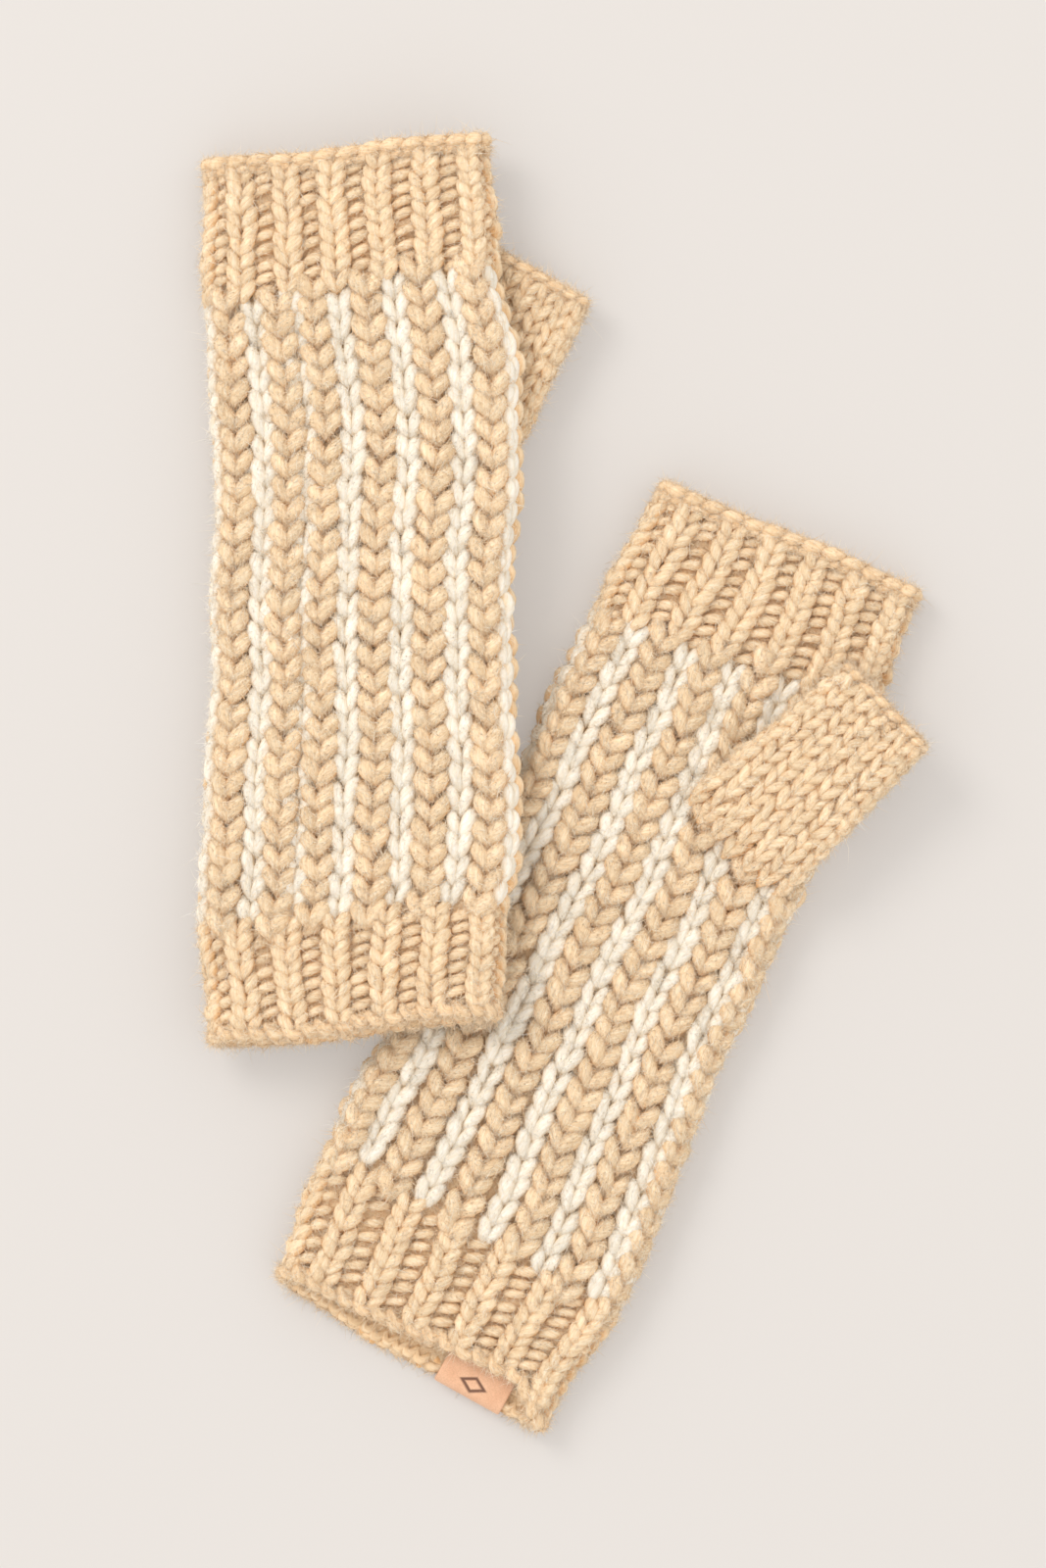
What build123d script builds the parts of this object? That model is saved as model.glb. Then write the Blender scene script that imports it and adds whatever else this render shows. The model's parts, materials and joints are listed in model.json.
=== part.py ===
from build123d import *

import os
from dataclasses import dataclass
from math import atan2, cos, degrees, radians, sin, tan

# A pair of long knitted fingerless gloves, laid flat one partly on the other.
# Millimetres throughout.  Each glove is built in its own frame: X across the hand,
# Y from the wrist to the fingers with 0 where the wrist rib meets the hand, and
# Z through the flattened tube with 0 half way between its two layers.

# ---- hand tube -------------------------------------------------------------
HAND_WIDTH = 94.0        # flattened width over the knuckles
HAND_LENGTH = 185.0      # two-colour knitting between the two ribs
WALL = 4.0               # one layer of knitting
HAND_SPACE = 8.0         # between the two layers
SHAPING = 30.0           # length over which the hand narrows to each rib
CREAM_RECESS = 0.9       # how far the cream columns lie below the camel ridges
FLAT_COLUMNS = 5         # columns from the middle of a face to its rounded edge

# ---- ribs ------------------------------------------------------------------
FINGER_WIDTH = 86.0
FINGER_RIB = 40.0
WRIST_WIDTH = 88.0
WRIST_RIB = 36.5
PURL_RECESS = 1.1        # how far the purl columns lie below the knit ones
EDGE_ROW = 4.0           # length of a cast-on or bind-off edge
LAYER_SHIFT = 5.5        # how much further the right wrist's lower layer reaches

# ---- thumb tube ------------------------------------------------------------
THUMB_LENGTH = 55.0
THUMB_BASE_WIDTH = 42.0
THUMB_TIP_WIDTH = 35.0
THUMB_WALL = 2.6
THUMB_BASE_SPACE = 0.8   # between the thumb's two layers
THUMB_TIP_SPACE = 5.8
THUMB_X = 26.5           # middle of the thumb's base line on the palm
THUMB_FROM_FINGERS = 44.5  # from its base line to the middle of the finger rib's border
THUMB_EDGE_ROW = 4.0
HOLE_WIDTH = 24.0        # the opening from the hand into the thumb
HOLE_LENGTH = 10.0
HOLE_FROM_BASE = 10.0    # from the base line to the middle of the opening
JOIN_WIDTH = 3.0         # the ring of picked-up stitches round the opening
JOIN_HEIGHT = 0.9

# ---- leather label ---------------------------------------------------------
LABEL_WIDTH = 21.6
LABEL_DEPTH = 13.0       # from the hem up each side of the layer it is folded over
LABEL_X = 20.5
LEATHER = 1.2
LABEL_ROUNDING = 1.1
LOZENGE_WIDTH = 9.0
LOZENGE_HEIGHT = 5.0
LOZENGE_LINE = 0.8
LOZENGE_DEPTH = 0.4
LOZENGE_FROM_FOLD = 4.5
STITCHES = 5
STITCH_LENGTH = 2.4
STITCH_WIDTH = 0.8
STITCH_HEIGHT = 0.5
STITCH_INSET = 1.5       # from the leather's top edge

# ---- clearances ------------------------------------------------------------
JOINT_GAP = 0.4          # between two knitted pieces that bend apart
LAY_GAP = 0.6            # between the left glove and what it lies on

HALVES = 2
QUADRANTS = 4
QUADRANT = FLAT_COLUMNS + 1
THICKNESS = HALVES * WALL + HAND_SPACE
RADIUS = THICKNESS / HALVES
THUMB_BASE_THICKNESS = HALVES * THUMB_WALL + THUMB_BASE_SPACE
THUMB_TIP_THICKNESS = HALVES * THUMB_WALL + THUMB_TIP_SPACE
REACH = HAND_WIDTH       # half the width of a cutting block, past every edge


@dataclass
class Border:
    """A straight line across a glove: its distance along the glove and its slant."""
    middle: float
    slant: float = 0.0

    def at(self, x):
        return self.middle + x * tan(radians(self.slant))

    def moved(self, distance):
        return Border(self.middle + distance, self.slant)


@dataclass
class Glove:
    """How one glove lies: its place, and how its soft edges have settled."""
    side: str
    palm: int                # 1 where the palm faces up, -1 where it faces down
    x: float                 # where the middle of the wrist border lies
    y: float
    turn: float              # degrees anticlockwise, seen from above
    wrist_border: Border
    finger_border: Border
    wrist_hems: tuple        # of the upper layer and of the lower layer
    finger_hem: Border
    splay: float             # degrees from the hand's length out to the thumb
    finger_gap: float


LEFT = Glove(
    side="left", palm=-1, x=-59.6, y=-37.0, turn=0.7,
    wrist_border=Border(0.0, 3.4),
    finger_border=Border(HAND_LENGTH, 6.0),
    wrist_hems=(Border(-WRIST_RIB, 4.1), Border(-WRIST_RIB, 4.1)),
    finger_hem=Border(HAND_LENGTH + FINGER_RIB, 3.7),
    splay=30.0, finger_gap=JOINT_GAP,
)
RIGHT = Glove(
    side="right", palm=1, x=-27.3, y=-129.8, turn=-24.9,
    wrist_border=Border(0.0, -5.7),
    finger_border=Border(HAND_LENGTH, 5.8),
    wrist_hems=(Border(-WRIST_RIB), Border(-WRIST_RIB - LAYER_SHIFT, -5.2)),
    finger_hem=Border(HAND_LENGTH + FINGER_RIB, 1.6),
    splay=22.0, finger_gap=0.0,
)


def station(y):
    """The cross-section plane at a distance along a glove, with its own Y upward."""
    return Plane(origin=(0, y, 0), x_dir=(1, 0, 0), z_dir=(0, -1, 0))


def prism(face, start, end):
    """A cross-section carried along a glove from start to end."""
    return extrude(station(start) * face, amount=start - end)


def tube_profile(width):
    """A flattened tube's cross-section, both ends round."""
    return SlotOverall(width, THICKNESS) - SlotOverall(width - HALVES * WALL, HAND_SPACE)


# ---- cutting blocks --------------------------------------------------------

def block(lower, upper, bottom, top):
    """What lies between two borders and between two heights."""
    corners = [
        (-REACH, lower.at(-REACH)), (REACH, lower.at(REACH)),
        (REACH, upper.at(REACH)), (-REACH, upper.at(-REACH)),
    ]
    return extrude(Pos(0, 0, bottom) * make_face(Polyline(*corners, close=True)), amount=top - bottom)


def layers(lowers, uppers):
    """What lies between the borders of the upper layer and those of the lower one."""
    upper_layer = block(lowers[0], uppers[0], 0, THICKNESS)
    lower_layer = block(lowers[1], uppers[1], -THICKNESS, 0)
    return upper_layer + lower_layer


# ---- hand: camel ridges and cream columns ----------------------------------

def column_edges(width, index):
    """Where a column of one quadrant starts and ends, counted from the middle."""
    step = (width / HALVES - RADIUS) / FLAT_COLUMNS
    return index * step, (index + 1) * step


def column_section(width, index, recess):
    """A column's cross-section in the quadrant where X and Z are positive."""
    inner, outer = RADIUS - WALL, RADIUS - recess
    if index < FLAT_COLUMNS:
        start, end = column_edges(width, index)
        middle = Pos((start + end) / HALVES, (inner + outer) / HALVES)
        return middle * Rectangle(end - start, outer - inner)
    middle = width / HALVES - RADIUS
    outline = [
        CenterArc((middle, 0), outer, 0, 90),
        Line((middle, outer), (middle, inner)),
        CenterArc((middle, 0), inner, 90, -90),
        Line((middle + inner, 0), (middle + outer, 0)),
    ]
    return make_face(outline)


def hand_column(number, recess, zone):
    """One of the columns round the hand, numbered from the left edge over the top."""
    quadrant, place = divmod(number, QUADRANT)
    on_left, below = quadrant in (0, 3), quadrant in (2, 3)
    index = FLAT_COLUMNS - place if on_left != below else place
    stations = [
        (-SHAPING, WRIST_WIDTH), (SHAPING, HAND_WIDTH),
        (HAND_LENGTH - SHAPING, HAND_WIDTH), (HAND_LENGTH + SHAPING / HALVES, FINGER_WIDTH),
    ]
    sections = [station(y) * column_section(width, index, recess) for y, width in stations]
    column = loft(sections, ruled=True)
    if on_left:
        column = mirror(column, about=Plane.YZ)
    if below:
        column = mirror(column, about=Plane.XY)
    return column & zone


def hand_columns(glove, first, recess, hole):
    """Every second column round the hand, less the opening into the thumb."""
    zone = block(glove.wrist_border, glove.finger_border, -THICKNESS, THICKNESS)
    numbers = range(first, QUADRANTS * QUADRANT, HALVES)
    return [hand_column(number, recess, zone) - hole for number in numbers]


# ---- ribs and their edges --------------------------------------------------

def rib_profile(width):
    """A rib's cross-section, with a groove on every purl column of both faces."""
    profile = tube_profile(width)
    step = (width / HALVES - RADIUS) / FLAT_COLUMNS
    groove = Rectangle(step, HALVES * PURL_RECESS)
    for number in range(FLAT_COLUMNS):
        offset = (HALVES * number - FLAT_COLUMNS + 1 / HALVES) * step
        profile -= Pos(offset, RADIUS) * groove
        profile -= Pos(-offset, -RADIUS) * groove
    return profile


def wrist_pieces(glove):
    """The wrist rib and its cast-on edge."""
    inner_hems = [hem.moved(EDGE_ROW) for hem in glove.wrist_hems]
    border = glove.wrist_border.moved(-JOINT_GAP)
    start, end = -WRIST_RIB - SHAPING, SHAPING
    rib = prism(rib_profile(WRIST_WIDTH), start, end) & layers(inner_hems, [border] * HALVES)
    edge = prism(tube_profile(WRIST_WIDTH), start, end) & layers(glove.wrist_hems, inner_hems)
    return rib, edge


def finger_pieces(glove):
    """The finger rib and its bind-off edge."""
    inner_hem = glove.finger_hem.moved(-EDGE_ROW)
    border = glove.finger_border.moved(glove.finger_gap)
    start, end = HAND_LENGTH - SHAPING, HAND_LENGTH + FINGER_RIB + SHAPING
    rib = prism(rib_profile(FINGER_WIDTH), start, end) & block(border, inner_hem, -THICKNESS, THICKNESS)
    edge_zone = block(inner_hem, glove.finger_hem, -THICKNESS, THICKNESS)
    return rib, prism(tube_profile(FINGER_WIDTH), start, end) & edge_zone


# ---- thumb -----------------------------------------------------------------
# The thumb's own frame: Y from its base line to its opening, Z away from the palm,
# with Z = 0 on the side that lies against the hand.

def thumb_size(y):
    """The thumb's width and thickness at a distance from its base line."""
    share = y / THUMB_LENGTH
    width = THUMB_BASE_WIDTH + share * (THUMB_TIP_WIDTH - THUMB_BASE_WIDTH)
    thickness = THUMB_BASE_THICKNESS + share * (THUMB_TIP_THICKNESS - THUMB_BASE_THICKNESS)
    return width, thickness


def thumb_section(y, wall):
    """The thumb's cross-section, drawn in from its outside by a wall."""
    width, thickness = thumb_size(y)
    outline = SlotOverall(width - HALVES * wall, thickness - HALVES * wall)
    return station(y) * (Pos(0, thickness / HALVES) * outline)


def thumb_hole(low, high):
    """The opening from the hand into the thumb, between two heights."""
    return extrude(Pos(0, HOLE_FROM_BASE, low) * SlotOverall(HOLE_WIDTH, HOLE_LENGTH), amount=high - low)


def thumb_pieces():
    """The thumb tube and its bind-off edge."""
    outside = loft([thumb_section(0, 0), thumb_section(THUMB_LENGTH, 0)], ruled=True)
    mouth = THUMB_LENGTH + THUMB_WALL
    inside = loft([thumb_section(THUMB_WALL, THUMB_WALL), thumb_section(mouth, THUMB_WALL)], ruled=True)
    tube = outside - inside - thumb_hole(-THUMB_WALL, THUMB_WALL + JOINT_GAP)
    last_row = Border(THUMB_LENGTH - THUMB_EDGE_ROW)
    base_part = block(Border(-THUMB_WALL), last_row, -THICKNESS, THICKNESS)
    edge_part = block(last_row, Border(mouth), -THICKNESS, THICKNESS)
    return tube & base_part, tube & edge_part


def thumb_join():
    """The ring of picked-up stitches between the hand and the thumb."""
    ring = SlotOverall(HOLE_WIDTH + HALVES * JOIN_WIDTH, HOLE_LENGTH + HALVES * JOIN_WIDTH)
    ring -= SlotOverall(HOLE_WIDTH, HOLE_LENGTH)
    return extrude(Pos(0, HOLE_FROM_BASE, -JOINT_GAP - JOIN_HEIGHT) * ring, amount=JOIN_HEIGHT)


def thumb_frame(glove):
    """Where the thumb's own frame lies on the hand."""
    height = RADIUS + JOIN_HEIGHT + JOINT_GAP
    facing = Rot(0, 0, 0) if glove.palm > 0 else Rot(0, 180, 0)
    base = Pos(THUMB_X, HAND_LENGTH - THUMB_FROM_FINGERS, glove.palm * height)
    return base * Rot(0, 0, -glove.splay) * facing


# ---- leather label ---------------------------------------------------------
# The label's own frame: Y = 0 on the hem it is folded over, Z as in the glove.

def label_frame(glove):
    hem = glove.wrist_hems[1]
    return Pos(LABEL_X, hem.at(LABEL_X), 0) * Rot(0, 0, hem.slant)


def lozenge():
    """A plain lozenge outline, pressed into the leather."""
    def diamond(width, height):
        across, up = width / HALVES, height / HALVES
        tips = [(across, 0), (0, up), (-across, 0), (0, -up)]
        return make_face(Polyline(*tips, close=True))

    inset = HALVES * LOZENGE_LINE
    outline = diamond(LOZENGE_WIDTH, LOZENGE_HEIGHT)
    outline -= diamond(LOZENGE_WIDTH - HALVES * inset, LOZENGE_HEIGHT - inset)
    top = -RADIUS + WALL + LEATHER
    return extrude(Pos(0, LOZENGE_FROM_FOLD, top - LOZENGE_DEPTH) * outline, amount=LOZENGE_DEPTH)


def leather_label():
    """A leather strip folded over one layer of the wrist hem."""
    top = -RADIUS + WALL + LEATHER
    aligned = (Align.CENTER, Align.MIN, Align.MIN)
    strip = Pos(0, -LEATHER, -RADIUS) * Box(
        LABEL_WIDTH, LABEL_DEPTH + LEATHER, top + RADIUS, align=aligned)
    strip = fillet(strip.faces().sort_by(Axis.Y)[0].edges().filter_by(Axis.X), LABEL_ROUNDING)
    layer = Pos(0, 0, -RADIUS + LEATHER) * Box(
        LABEL_WIDTH, LABEL_DEPTH, WALL - LEATHER, align=aligned)
    return strip - layer - lozenge()


def label_pocket():
    """The space that the label's outer half presses into the knitting."""
    aligned = (Align.CENTER, Align.MIN, Align.MIN)
    return Pos(0, -EDGE_ROW, -RADIUS) * Box(LABEL_WIDTH, LABEL_DEPTH + EDGE_ROW, LEATHER, align=aligned)


def label_stitches():
    """The stitches along the leather's top edge, through both halves."""
    pitch = LABEL_WIDTH / STITCHES
    top = -RADIUS + WALL + LEATHER
    bar = Box(STITCH_LENGTH, STITCH_WIDTH, STITCH_HEIGHT, align=(Align.CENTER, Align.CENTER, Align.MIN))
    first = -(STITCHES - 1) * pitch / HALVES
    return [Pos(first + pitch * n, LABEL_DEPTH - STITCH_INSET, top) * bar for n in range(STITCHES)]


# ---- how the gloves lie ----------------------------------------------------

def on_table(glove, x, y):
    """A point of a glove, carried into the plan of the whole pair."""
    return Vector(glove.x, glove.y) + Vector(x, y).rotate(Axis.Z, glove.turn)


def meeting(start, along, other, other_along):
    """Where two lines in plan cross."""
    gap = other - start
    across = along.X * other_along.Y - along.Y * other_along.X
    return start + along * ((gap.X * other_along.Y - gap.Y * other_along.X) / across)


def roll_over_thumb():
    """The left glove's roll, with its thumb flat under the palm and its left edge down."""
    lean = radians(LEFT.splay)
    flat = HAND_WIDTH / HALVES - RADIUS
    angles = []
    for distance in (0, THUMB_LENGTH):
        width, thickness = thumb_size(distance)
        x = THUMB_X + distance * sin(lean) - width / HALVES * cos(lean)
        depth = JOIN_HEIGHT + JOINT_GAP + thickness + LAY_GAP
        angles.append(atan2(depth, x + flat))
    return max(angles)


def pitch_over_right(roll):
    """The left glove's pitch, with its wrist end on the right glove and its fingers down."""
    flat = HAND_WIDTH / HALVES - RADIUS
    half = HAND_WIDTH / HALVES
    right_edge = on_table(RIGHT, -half, 0)
    right_along = Vector(0, 1).rotate(Axis.Z, RIGHT.turn)
    hem = LEFT.wrist_hems[0]
    hem_along = Vector(1, tan(radians(hem.slant))).rotate(Axis.Z, LEFT.turn)
    side_along = Vector(0, 1).rotate(Axis.Z, LEFT.turn)
    crossings = [
        meeting(on_table(LEFT, 0, hem.middle), hem_along, right_edge, right_along),
        meeting(on_table(LEFT, half, 0), side_along, right_edge, right_along),
    ]
    angles = []
    for crossing in crossings:
        here = (crossing - Vector(LEFT.x, LEFT.y)).rotate(Axis.Z, -LEFT.turn)
        height = THICKNESS + LAY_GAP - (here.X + flat) * sin(roll)
        angles.append(atan2(height, LEFT.finger_hem.middle - here.Y))
    return max(angles)


def lay(glove):
    """Where a glove's own frame lies, but for its height."""
    flat_place = Pos(glove.x, glove.y, 0) * Rot(0, 0, glove.turn)
    if glove is RIGHT:
        return flat_place
    roll = roll_over_thumb()
    return flat_place * Rot(-degrees(pitch_over_right(roll)), 0, 0) * Rot(0, -degrees(roll), 0)


# ---- assembly --------------------------------------------------------------

def glove_pieces(glove):
    """Every piece of one glove by name, in the glove's own frame."""
    frame = thumb_frame(glove)
    hole = frame * thumb_hole(-RADIUS, 0)
    tube, tube_edge = thumb_pieces()
    rib, cast_on = wrist_pieces(glove)
    finger_rib, bind_off = finger_pieces(glove)
    pieces = {
        "hand_camel_ridges": hand_columns(glove, 1, 0.0, hole),
        "hand_cream_columns": hand_columns(glove, 0, CREAM_RECESS, hole),
        "thumb_join": [frame * thumb_join()],
        "thumb_tube": [frame * tube],
        "thumb_bind_off": [frame * tube_edge],
        "finger_rib": [finger_rib],
        "finger_bind_off": [bind_off],
        "wrist_rib": [rib],
        "wrist_cast_on": [cast_on],
    }
    if glove is RIGHT:
        seat = label_frame(glove)
        pocket = seat * label_pocket()
        pieces["wrist_rib"] = [rib - pocket]
        pieces["wrist_cast_on"] = [cast_on - pocket]
        pieces["leather_label"] = [seat * leather_label()]
        pieces["label_stitches"] = [seat * stitch for stitch in label_stitches()]
    return {f"{glove.side}_{name}": solids for name, solids in pieces.items()}


def solids_of(shapes):
    """The separate solids in a list of shapes."""
    return [solid for shape in shapes for solid in shape.solids()]


def raised(place, pieces):
    """A glove's place, raised until its lowest point is on the table."""
    lying = Compound([place * solid for shapes in pieces.values() for solid in solids_of(shapes)])
    return Pos(0, 0, -lying.bounding_box().min.Z) * place


def build():
    """Every node's solids, and each glove's frame, with the pair's base centre at 0."""
    gloves = {glove.side: glove_pieces(glove) for glove in (LEFT, RIGHT)}
    places = {
        glove.side: raised(lay(glove), gloves[glove.side]) for glove in (LEFT, RIGHT)
    }
    placed = {
        name: [places[side] * solid for solid in solids_of(shapes)]
        for side, pieces in gloves.items() for name, shapes in pieces.items()
    }
    box = Compound([solid for solids in placed.values() for solid in solids]).bounding_box()
    centre = Pos(-box.center().X, -box.center().Y, -box.min.Z)
    nodes = {name: [centre * solid for solid in solids] for name, solids in placed.items()}
    return nodes, {side: centre * place for side, place in places.items()}


NODES, PLACES = build()
os.makedirs("parts", exist_ok=True)
for name, solids in NODES.items():
    export_step(Compound(solids) if len(solids) > 1 else solids[0], f"parts/{name}.step")
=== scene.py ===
import json
from math import pi, radians, tan

import bpy
import numpy as np
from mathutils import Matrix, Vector

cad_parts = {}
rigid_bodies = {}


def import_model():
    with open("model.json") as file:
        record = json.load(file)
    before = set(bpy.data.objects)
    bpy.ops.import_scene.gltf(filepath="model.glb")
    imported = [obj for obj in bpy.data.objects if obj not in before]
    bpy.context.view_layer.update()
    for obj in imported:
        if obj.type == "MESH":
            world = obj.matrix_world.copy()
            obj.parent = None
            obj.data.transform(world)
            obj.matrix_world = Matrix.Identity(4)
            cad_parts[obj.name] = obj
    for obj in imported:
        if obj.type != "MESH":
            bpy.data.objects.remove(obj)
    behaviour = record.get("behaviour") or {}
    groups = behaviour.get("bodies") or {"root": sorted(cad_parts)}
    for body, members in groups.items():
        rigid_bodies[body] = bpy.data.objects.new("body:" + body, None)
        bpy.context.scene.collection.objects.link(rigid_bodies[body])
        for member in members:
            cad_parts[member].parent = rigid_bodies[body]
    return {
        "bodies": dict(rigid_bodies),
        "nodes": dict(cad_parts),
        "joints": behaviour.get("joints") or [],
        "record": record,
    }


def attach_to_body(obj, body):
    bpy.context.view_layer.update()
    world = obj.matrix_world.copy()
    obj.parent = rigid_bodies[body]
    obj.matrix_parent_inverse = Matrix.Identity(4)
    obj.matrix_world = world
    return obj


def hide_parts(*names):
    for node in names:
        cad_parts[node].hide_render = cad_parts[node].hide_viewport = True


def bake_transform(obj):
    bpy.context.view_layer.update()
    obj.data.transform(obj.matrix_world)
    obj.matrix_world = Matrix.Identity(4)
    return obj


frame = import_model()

# A pair of hand-knitted fingerless gloves.  Every stitch is a tube of yarn, placed on
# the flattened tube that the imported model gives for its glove.  Lengths below are in
# millimetres in a glove's own frame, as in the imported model: X across the hand, Y from
# the wrist border to the fingers, Z through the glove.  A height h is measured outward
# from the knitting's outside face.

MM = 0.001
RECORD = frame["record"]
MOUNTS = {mount["name"]: mount for mount in RECORD["mounts"]}
JOINTS = {joint["name"]: joint for joint in frame["joints"]}
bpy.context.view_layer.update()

FINGER_HEM_Y = 225.0
HAND_LENGTH = 185.0
RADIUS = 8.0             # of the round edges, and half a glove's thickness
COLUMNS = 24             # round a hand, cream and camel in turn
RIB_COLUMNS = 28         # round a rib, knit and purl in turn
HAND_ROWS = 27
FINGER_ROWS = 9
WRIST_ROWS = 8
THUMB_LENGTH = 55.0
THUMB_OPENING_Z = 5.5
THUMB_COLUMNS = 14
THUMB_ROWS = 11
NOMINAL_WIDTH = 94.0
INSIDE_PAINTED_SHADE = 0.25       # how far between stitches an edge or a wrong side counts as being, for the painted shade it gets

RIB_BACKING = -4.1       # height of the wrong side's sheet behind a rib, and behind a hand
HAND_BACKING = -4.7
BACKING_THICKNESS = 1.2
THUMB_BACKING = -1.9
THUMB_BACKING_THICKNESS = 0.5
BACKING_STEPS = 24
FINGER_CHAIN = 29        # loops along each edge
CAST_ON_LOOPS = 38
CAST_ON_SCALE = 1.6
THUMB_CHAIN = 15
LABEL_CLEAR = 14.0       # half the width over which the wrong side's bumps make room for the label

CUFF_BEND = 16.0         # length from a cuff's border to a second point taken on it; nothing turns the cuff
THUMB_BEND = (1.0, 20.0)  # where along a thumb two points are taken; nothing turns the thumb
THUMB_BEND_Z = 3.0

JOIN_STITCHES = 30
JOIN_OUTSET = 1.5        # of the ring from the opening's edge
JOIN_YARN = 0.85
JOIN_STITCH = [          # round the ring in stitches, outward from it, height
    (-0.4, -1.7, -2.4), (-0.2, -0.8, -1.3), (0.0, 0.4, -0.95), (0.2, 1.7, -1.4), (0.4, 2.6, -2.6)]


# ---- frames ----------------------------------------------------------------

def unit(vector):
    vector = np.asarray(vector, float)
    return vector / np.linalg.norm(vector)


class Frame:
    """An origin in millimetres and three axes, as rows."""

    def __init__(self, point, along, normal, back, down=0.0):
        y, z = unit(along), unit(normal)
        x = np.cross(y, z)
        self.axes = np.array([x, y, z])
        self.origin = np.array(point) / MM - back * y - down * z

    def world(self, points):
        return (self.origin + points @ self.axes) * MM

    def local(self, points):
        return (points - self.origin) @ self.axes.T


def glove_frame(side, normal):
    mount = MOUNTS[f"{side}_finger_opening"]
    return Frame(mount["pos_m"], mount["axis"], normal, FINGER_HEM_Y)


def thumb_frame(side, normal):
    mount = MOUNTS[f"{side}_thumb_opening"]
    return Frame(mount["pos_m"], mount["axis"], normal, THUMB_LENGTH, THUMB_OPENING_Z)


LEFT_DOWN = JOINTS["left_thumb_swing"]["axis"]
LEFT = glove_frame("left", -np.array(LEFT_DOWN))
RIGHT = glove_frame("right", (0, 0, 1))
LEFT_THUMB = thumb_frame("left", LEFT_DOWN)
RIGHT_THUMB = thumb_frame("right", (0, 0, 1))


# ---- the flattened tubes ---------------------------------------------------

def smooth_table(table):
    """A function through a table's points, eased between them."""
    xs, ys = np.array(table, float).T

    def value(x):
        x = np.clip(x, xs[0], xs[-1])
        index = np.clip(np.searchsorted(xs, x) - 1, 0, len(xs) - 2)
        share = (x - xs[index]) / (xs[index + 1] - xs[index])
        share = share * share * (3 - 2 * share)
        return ys[index] + share * (ys[index + 1] - ys[index])
    return value


def slot_point(phi, width, radius, height):
    """Points and outward normals round a flattened tube, phi from 0 at its left edge over the top."""
    flat = width - 2 * radius
    quarter = radius * pi / 2
    s = np.mod(phi, 1.0) * (2 * flat + 4 * quarter)
    half = flat / 2
    reach = radius + height
    arc_a = pi - s / radius
    arc_b = pi / 2 - (s - quarter - flat) / radius
    arc_c = -pi / 2 - (s - 3 * quarter - 2 * flat) / radius
    zones = [s < quarter, s < quarter + flat, s < 3 * quarter + flat, s < 3 * quarter + 2 * flat]
    nx = np.select(zones, [np.cos(arc_a), 0 * s, np.cos(arc_b), 0 * s], np.cos(arc_c))
    nz = np.select(zones, [np.sin(arc_a), 0 * s + 1, np.sin(arc_b), 0 * s - 1], np.sin(arc_c))
    middle = np.select(
        zones, [-half + 0 * s, -half + s - quarter, half + 0 * s, half - (s - 3 * quarter - flat)],
        -half)
    return middle + reach * nx, reach * nz, nx, nz


def perimeter(width, radius):
    return 2 * (width - 2 * radius) + 2 * pi * radius


def phi_at(x, width=NOMINAL_WIDTH, radius=RADIUS):
    """The phi of a point x across the top."""
    half = width / 2 - radius
    over = np.clip((np.abs(x) - half) / radius, 0, 1)
    s = radius * pi / 2 + half + np.sign(x) * (np.minimum(np.abs(x), half) + radius * np.arcsin(over))
    return s / perimeter(width, radius)


class Hand:
    """The hand and its two ribs: one flattened tube from hem to hem."""

    def __init__(self, frame, widths, centres, columns, borders, hems, crown, sags, seed):
        self.frame = frame
        self.sag = smooth_table(sags)
        self.width = smooth_table(widths)
        self.centre = smooth_table(centres)
        self.columns = columns
        self.wrist_border, self.finger_border = borders
        self.wrist_hem, self.finger_hem = hems
        self.crown = crown
        self.phase = np.random.default_rng(seed).uniform(0, 2 * pi, 12)

    def rib_column(self, number, y):
        """The phi of a rib column's middle."""
        return (number + 0.5) / RIB_COLUMNS + 0 * y

    def column(self, number, y):
        """The phi of a column's middle at y."""
        share = np.clip(y / HAND_LENGTH, 0, 1)
        wrist, finger = (column_phi(tops, number) for tops in self.columns)
        return wrist + share * (finger - wrist)

    def around(self, y):
        return perimeter(self.width(y), RADIUS)

    def place(self, phi, y, height):
        """Points in the glove's frame, and outward normals."""
        width = self.width(y)
        x, z, nx, nz = slot_point(phi, width, RADIUS, height)
        edge = 2 * x / width
        top = np.clip((z + RADIUS) / (2 * RADIUS), 0, 1)
        z = z - self.crown * edge ** 2 * top - self.sag(y) * (1 - edge ** 2) * top
        p = self.phase
        z = z - 0.35 * (1 + np.sin(y / 13 + p[0] + 2 * edge)) * top * (1 - edge ** 2)
        x = x + self.centre(y) + 0.7 * np.sin(y / 17 + p[1]) + 0.4 * np.sin(y / 7.3 + p[2] + 3 * edge)
        points = np.stack([x, y + 0.5 * np.sin(x / 11 + p[3]), z], -1)
        normals = np.stack([nx, 0 * nx, nz], -1)
        return points, normals

    def across(self, phi):
        """How far across the glove phi lies, and 1 on the upper layer to 0 on the lower one."""
        x, z, _, _ = slot_point(phi, NOMINAL_WIDTH, RADIUS, 0)
        return x, (z + RADIUS) / (2 * RADIUS)


def column_phi(tops, number):
    """The phi of a numbered column, from the places of those seen from above."""
    number = number % COLUMNS
    if number < len(tops):
        return phi_at(tops[number])
    first, last = phi_at(tops[-1]), phi_at(tops[0]) + 1
    share = (number - len(tops) + 1) / (COLUMNS - len(tops) + 1)
    return first + share * (last - first)


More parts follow.
